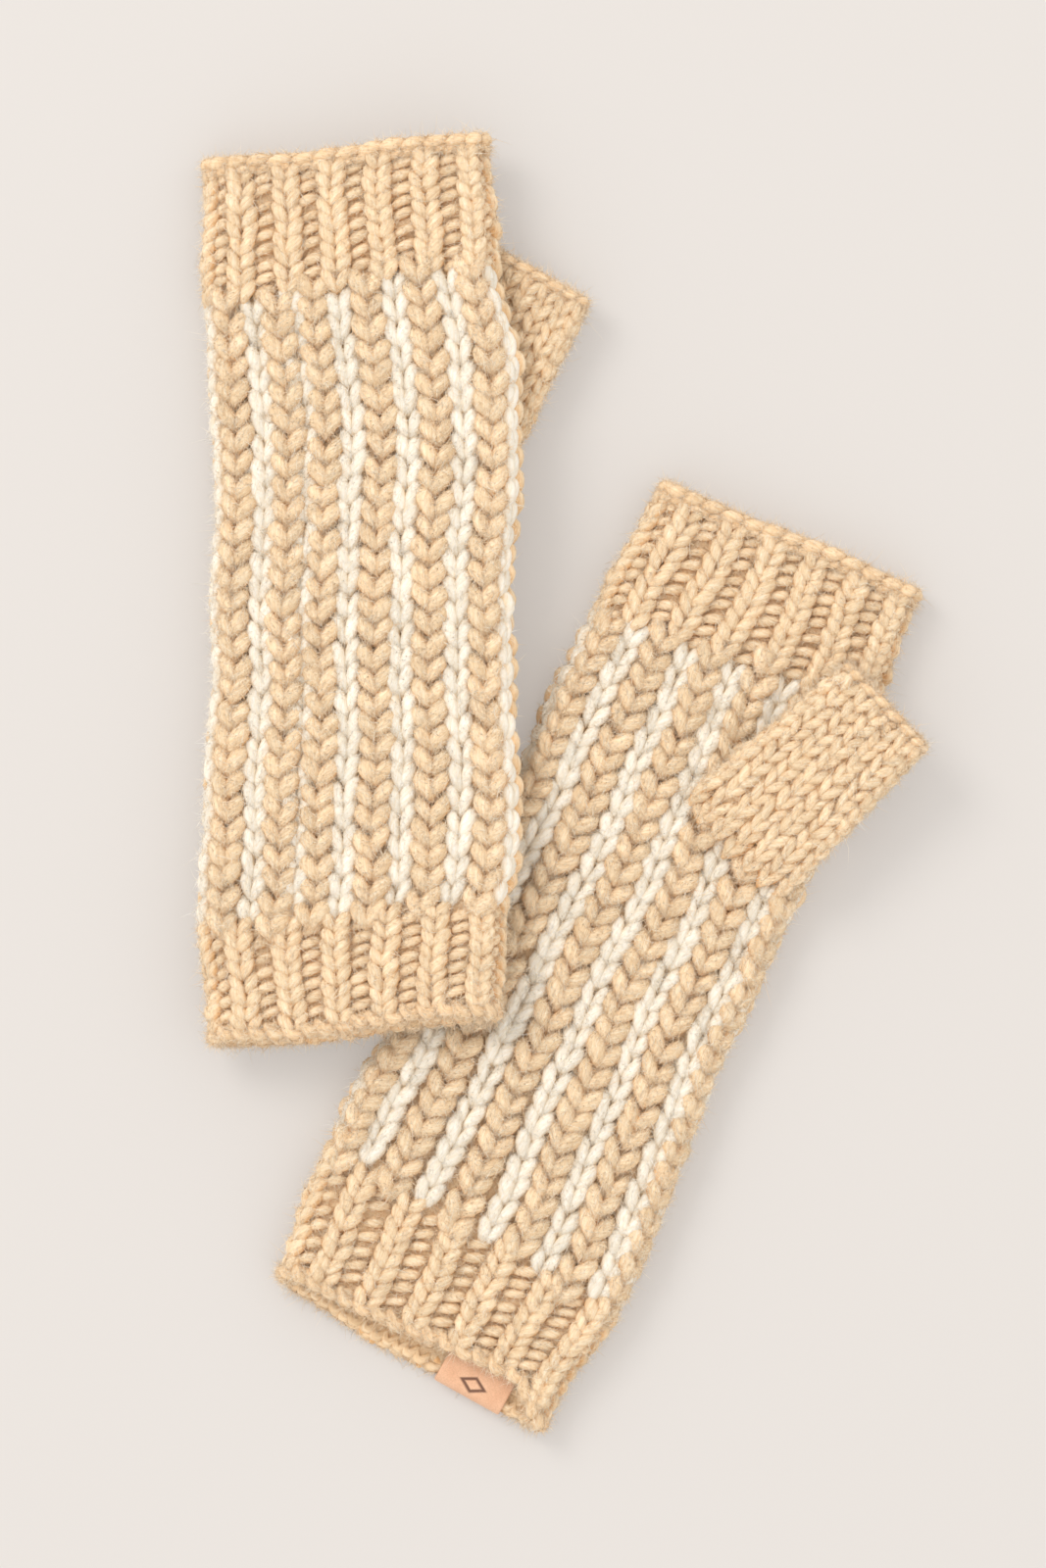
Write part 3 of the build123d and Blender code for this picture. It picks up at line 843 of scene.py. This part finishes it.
def rounded_bar(width, thickness, steps):
    """A strip's cross-section with rounded edges, as points across and through it."""
    radius = thickness / 2
    flat = np.linspace(-1, 1, steps) * (width / 2 - radius)
    bend = np.linspace(-pi / 2, pi / 2, 7)[1:-1]
    right = np.stack([width / 2 - radius + radius * np.cos(bend), radius * np.sin(bend)], -1)
    bottom = np.stack([flat, 0 * flat - radius], -1)
    return np.concatenate([bottom, right, -bottom, -right])


def build_label():
    """A strip folded over the hem, with a lozenge pressed into its outside near the fold."""
    line = spline(LABEL_LINE, 130)
    run = np.concatenate([[0], np.cumsum(np.linalg.norm(np.diff(line, axis=0), axis=1))])
    along = np.gradient(line, axis=0)
    along /= np.linalg.norm(along, axis=1, keepdims=True)
    outward = np.stack([along[:, 1], -along[:, 0]], -1)
    bar = rounded_bar(LABEL_WIDTH, LEATHER_THICKNESS, 75)
    across = np.broadcast_to(bar[:, 0], (len(line), len(bar)))
    offset = np.broadcast_to(bar[:, 1], across.shape)
    away = np.abs(across) / MARK_HALF_WIDTH
    away = away + np.abs(line[:, :1] - MARK_FROM_FOLD) / MARK_HALF_HEIGHT
    mark = np.clip(1.6 - np.abs(away - 1 + MARK_LINE) / MARK_LINE, 0, 1)
    mark = mark * (offset > 0) * (line[:, 1:2] > -4)
    lift = offset - MARK_DEPTH * mark
    up = line[:, :1] + outward[:, :1] * lift
    height = line[:, 1:2] + outward[:, 1:2] * lift
    yarn = Yarn(RIGHT, 400)
    points = on_label(np.stack([across, up, height], -1))
    fibre = np.stack([across, np.broadcast_to(run[:, None], across.shape), offset], -1)
    yarn.grid(points, False, fibre, mark)
    label = yarn.mesh("right_label_leather", LEATHER, "leather")
    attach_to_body(label, "right_wrist_cuff")
    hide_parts("right_leather_label")


def build_label_thread():
    """The stitches across the label's inner end."""
    pitch = LABEL_WIDTH / STITCH_COUNT
    middles = (np.arange(STITCH_COUNT) - (STITCH_COUNT - 1) / 2) * pitch
    line = spline([(-1.3, -1.1), (-0.8, -0.45), (0.0, -0.30), (0.8, -0.45), (1.3, -1.1)], 12)
    across = middles[:, None] + line[None, :, 0]
    path = on_label(np.stack([across, STITCH_Y + 0 * across, np.broadcast_to(line[:, 1], across.shape)], -1))
    yarn = Yarn(RIGHT, 401)
    yarn.add(path, np.broadcast_to((0.0, 0.0, 1.0), path.shape), np.full(across.shape, 0.30), 8)
    thread = yarn.mesh("right_label_thread", CAMEL, "label_thread")
    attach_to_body(thread, "right_wrist_cuff")
    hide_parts("right_label_stitches")


def build_join(side, thumb):
    """The picked-up stitches round the opening from the hand into the thumb."""
    line = spline(JOIN_STITCH, 10)
    phi = (np.arange(JOIN_STITCHES)[:, None] + line[None, :, 0]) / JOIN_STITCHES
    width, radius = 2 * (HOLE_HALF_WIDTH + JOIN_OUTSET), HOLE_HALF_LENGTH + JOIN_OUTSET
    x, y, nx, ny = slot_point(phi, width, radius, 0)
    x, y = x + nx * line[:, 1], y + ny * line[:, 1]
    path = np.stack([x, HOLE_FROM_BASE + y, np.broadcast_to(line[:, 2], x.shape)], -1)
    yarn = Yarn(thumb, 402)
    yarn.add(path, np.broadcast_to((0.0, 0.0, 1.0), path.shape), np.full(x.shape, JOIN_YARN), 9)
    ring = yarn.mesh(f"{side}_thumb_join_loops", CAMEL, "camel_yarn")
    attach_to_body(ring, f"{side}_hand")
    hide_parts(f"{side}_thumb_join")


# ---- both gloves -----------------------------------------------------------

def line(middle, slope):
    return lambda x: middle + slope * x


def two_layer_hem(upper, lower):
    upper, lower = smooth_table(upper), smooth_table(lower)
    return lambda x, top: lower(x) + (upper(x) - lower(x)) * top


LEFT_TOPS = [-46.6, -38.1, -29.5, -22.2, -17.4, -11.2, -3.5, 5.2, 13.0, 21.6, 29.7, 38.4, 46.2]
RIGHT_WRIST_TOPS = [-46.2, -42.0, -34.5, -25.0, -15.0, -5.0, 4.8, 13.5, 21.5, 30.0, 38.9, 44.4, 46.6]
RIGHT_FINGER_TOPS = [-46.0, -39.2, -31.0, -22.0, -13.2, -5.9, 1.6, 9.8, 18.2, 26.8, 35.0, 42.4, 46.2]

LEFT_HAND = Hand(
    LEFT,
    widths=[(-40, 87.5), (-28, 88.7), (-3, 93.0), (14, 97.5), (84, 92.0), (138, 93.8),
            (156, 96.0), (190, 90.0), (225, 85.5)],
    centres=[(-40, -1.5), (-3, -2.0), (14, -0.5), (84, 2.2), (138, 3.2), (156, 2.6), (190, 0.4), (225, -1.6)],
    columns=(LEFT_TOPS, LEFT_TOPS),
    borders=(line(0.0, tan(radians(3.4))), line(HAND_LENGTH, tan(radians(6.0)))),
    hems=(two_layer_hem([(-47, -37.4), (47, -30.6)], [(-47, -39.0), (47, -33.0)]),
          line(FINGER_HEM_Y, tan(radians(3.7)))),
    crown=2.0, sags=[(-40, 2.0), (-10, 0.0), (200, 0.0), (225, 2.0)], seed=1)
RIGHT_HAND = Hand(
    RIGHT,
    widths=[(-46, 91.0), (-35, 92.0), (-7, 101.0), (20, 102.0), (44, 98.0), (89, 94.3),
            (140, 94.3), (186, 90.0), (214, 85.5), (226, 83.0)],
    centres=[(-46, 0.3), (-7, 0.5), (20, 1.4), (44, 2.0), (89, 0.9), (140, 2.2), (186, 0.2), (226, 0.0)],
    columns=(RIGHT_WRIST_TOPS, RIGHT_FINGER_TOPS),
    borders=(line(0.0, tan(radians(-5.7))), line(HAND_LENGTH, tan(radians(5.8)))),
    hems=(two_layer_hem([(-47, -35.6), (0, -36.0), (31, -35.8), (46, -44.5)],
                        [(-47, -38.5), (-36, -39.4), (-3, -43.5), (9, -44.2), (47, -46.0)]),
          line(FINGER_HEM_Y, tan(radians(1.6)))),
    crown=1.6, sags=[(-44, 3.5), (-12, 0.0), (200, 0.0), (225, 1.5)], seed=2)
HANDS = {"left": (LEFT_HAND, LEFT_THUMB), "right": (RIGHT_HAND, RIGHT_THUMB)}
REPLACED = {
    "hand_camel_upper": "hand_camel_ridges", "hand_cream_upper": "hand_cream_columns",
}


def border_point(hand, which, past):
    border = hand.finger_border if which == "finger" else hand.wrist_border
    return hand.frame.world(np.array([0.0, border(0.0) + past, RADIUS]))


def attach(piece, side, part, hand, thumb):
    """Joins a hand piece, or a finger piece of the right glove, to its hand's body; other pieces keep their
    place, baked into their points.
    """
    if part == "hand" or (side, part) == ("right", "finger"):
        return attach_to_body(piece, f"{side}_hand")
    if part == "thumb":
        start, end = thumb.world(np.array([[0, y, THUMB_BEND_Z] for y in THUMB_BEND]))
        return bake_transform(piece)
    reach = CUFF_BEND if part == "finger" else -CUFF_BEND
    start, end = border_point(hand, part, 0.0), border_point(hand, part, reach)
    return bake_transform(piece)


def beside_label(path):
    """Keeps the wrong side's bumps that leave the label its room."""
    return np.abs(path[:, 0, 0] - LABEL_X) > LABEL_CLEAR


def build_glove(side):
    hand, thumb = HANDS[side]
    keep = beside_hole(thumb, hand.frame)
    todo = []
    for name, yarn, colour in hand_stitches(side, hand, keep):
        node = REPLACED.get(name[len(side) + 1:])
        todo.append((name, yarn, colour, "hand", [node] if node else []))
    finger = Yarn(hand.frame, 201)
    rib_stitches(finger, hand, finger_rows(hand), FINGER_ROWS, range(FINGER_ROWS - 3, FINGER_ROWS))
    finger.grid(backing(hand, span_rows(finger_rows(hand), -1, FINGER_ROWS, BACKING_STEPS),
                        RIB_BACKING, BACKING_THICKNESS), True)
    todo.append((f"{side}_finger_rib_stitches", finger, "camel", "finger", ["finger_rib"]))
    finger_edge = Yarn(hand.frame, 202)
    bind_off(finger_edge, hand, FINGER_CHAIN, hem_row(hand, "finger"))
    todo.append((f"{side}_finger_bind_off_chain", finger_edge, "camel", "finger", ["finger_bind_off"]))
    wrist = Yarn(hand.frame, 203)
    keep_bumps = beside_label if side == "right" else None
    rib_stitches(wrist, hand, wrist_rows(hand), WRIST_ROWS, range(4), keep_bumps)
    wrist.grid(backing(hand, span_rows(wrist_rows(hand), 0, WRIST_ROWS + 1, BACKING_STEPS),
                       RIB_BACKING, BACKING_THICKNESS), True)
    todo.append((f"{side}_wrist_rib_stitches", wrist, "camel", "wrist", ["wrist_rib"]))
    wrist_edge = Yarn(hand.frame, 204)
    edge_loops(wrist_edge, hand, CAST_OUTER, CAST_ON_LOOPS, hem_row(hand, "wrist"), CAST_ON_SCALE)
    edge_loops(wrist_edge, hand, CAST_INNER, CAST_ON_LOOPS, hem_row(hand, "wrist"), CAST_ON_SCALE)
    todo.append((f"{side}_wrist_cast_on_loops", wrist_edge, "camel", "wrist", ["wrist_cast_on"]))
    inside = Yarn(hand.frame, 205)
    inside.grid(backing(hand, span_rows(hand_rows(hand), -0.6, HAND_ROWS + 0.6, 90),
                        HAND_BACKING, BACKING_THICKNESS), True)
    todo.append((f"{side}_hand_inside", inside, "camel", "hand", []))
    tube = Thumb(thumb)
    stitch = Yarn(thumb, 206)
    spots, mirror = spots_of(range(THUMB_COLUMNS), THUMB_ROWS + 1)
    spots = spots - (0, 1)
    stitches(stitch, tube, tube.column, spots, THUMB_LEG, thumb_rows, 10, 11, mirror)
    stitch.grid(backing(tube, span_rows(thumb_rows, 0.4, THUMB_ROWS + 0.2, BACKING_STEPS),
                        THUMB_BACKING, THUMB_BACKING_THICKNESS, 56, 0.15), True)
    todo.append((f"{side}_thumb_stitches", stitch, "camel", "thumb", ["thumb_tube"]))
    rim = Yarn(thumb, 207)
    bind_off(rim, tube, THUMB_CHAIN, lambda phi, rows: THUMB_LENGTH + rows + 0 * phi, 0.72)
    todo.append((f"{side}_thumb_bind_off_chain", rim, "camel", "thumb", ["thumb_bind_off"]))
    for name, yarn, colour, part, nodes in todo:
        slot, material = SLOTS[colour]
        piece = yarn.mesh(name, material, slot)
        attach(piece, side, part, hand, thumb)
        if nodes:
            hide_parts(*[f"{side}_{node}" for node in nodes])
        if yarn.normals:
            for number in (1, 2):
                hairs = yarn.fuzz(*FUZZ[name.split("_", 1)[1]], 300 + number)
                hairs = hairs.mesh(f"{name}_fuzz_{number}", FUZZ_MATERIALS[colour], slot)
                attach(hairs, side, part, hand, thumb)


for side, (_, thumb_place) in HANDS.items():
    build_glove(side)
    build_join(side, thumb_place)
build_label()
build_label_thread()


# ---- floor, light and camera -----------------------------------------------

def build_stage():
    bpy.ops.mesh.primitive_plane_add(size=8.0, location=(0, 0, 0))
    floor = bpy.context.object
    floor.name = "floor"
    material, nodes, links, shader = new_material("paper", 0.9, 0.0, (1, 1, 1))
    shader.inputs["Base Color"].default_value = (0.408, 0.386, 0.368, 1)
    shader.inputs["Emission Color"].default_value = (1.0, 0.955, 0.915, 1)
    shader.inputs["Emission Strength"].default_value = 0.265
    floor.data.materials.append(material)


def area_light(name, place, target, size, power, colour):
    data = bpy.data.lights.new(name, "AREA")
    data.shape, data.size, data.energy, data.color = "DISK", size, power, colour
    light = bpy.data.objects.new(name, data)
    light.location = place
    light.rotation_mode = "QUATERNION"
    light.rotation_quaternion = (Vector(target) - Vector(place)).to_track_quat("-Z", "Y")
    bpy.context.scene.collection.objects.link(light)


def build_lights():
    world = bpy.data.worlds.new("studio")
    bpy.context.scene.world = world
    world.use_nodes = True
    background = world.node_tree.nodes["Background"]
    background.inputs["Color"].default_value = (1.0, 0.985, 0.965, 1)
    background.inputs["Strength"].default_value = 1.17
    area_light("key", (-1.9, 1.9, 2.9), (0, 0, 0), 1.8, 54.0, (1.0, 0.98, 0.95))


def build_camera():
    data = bpy.data.cameras.new("camera")
    data.sensor_width = 36.0
    distance, view_height = 3.0, 0.4619
    data.lens = data.sensor_width * (distance - 0.012) / view_height
    camera = bpy.data.objects.new("camera", data)
    camera.location = (-0.0116, -0.0003, distance)
    bpy.context.scene.collection.objects.link(camera)
    bpy.context.scene.camera = camera


build_stage()
build_lights()
build_camera()
bpy.context.scene.view_settings.view_transform = "Standard"
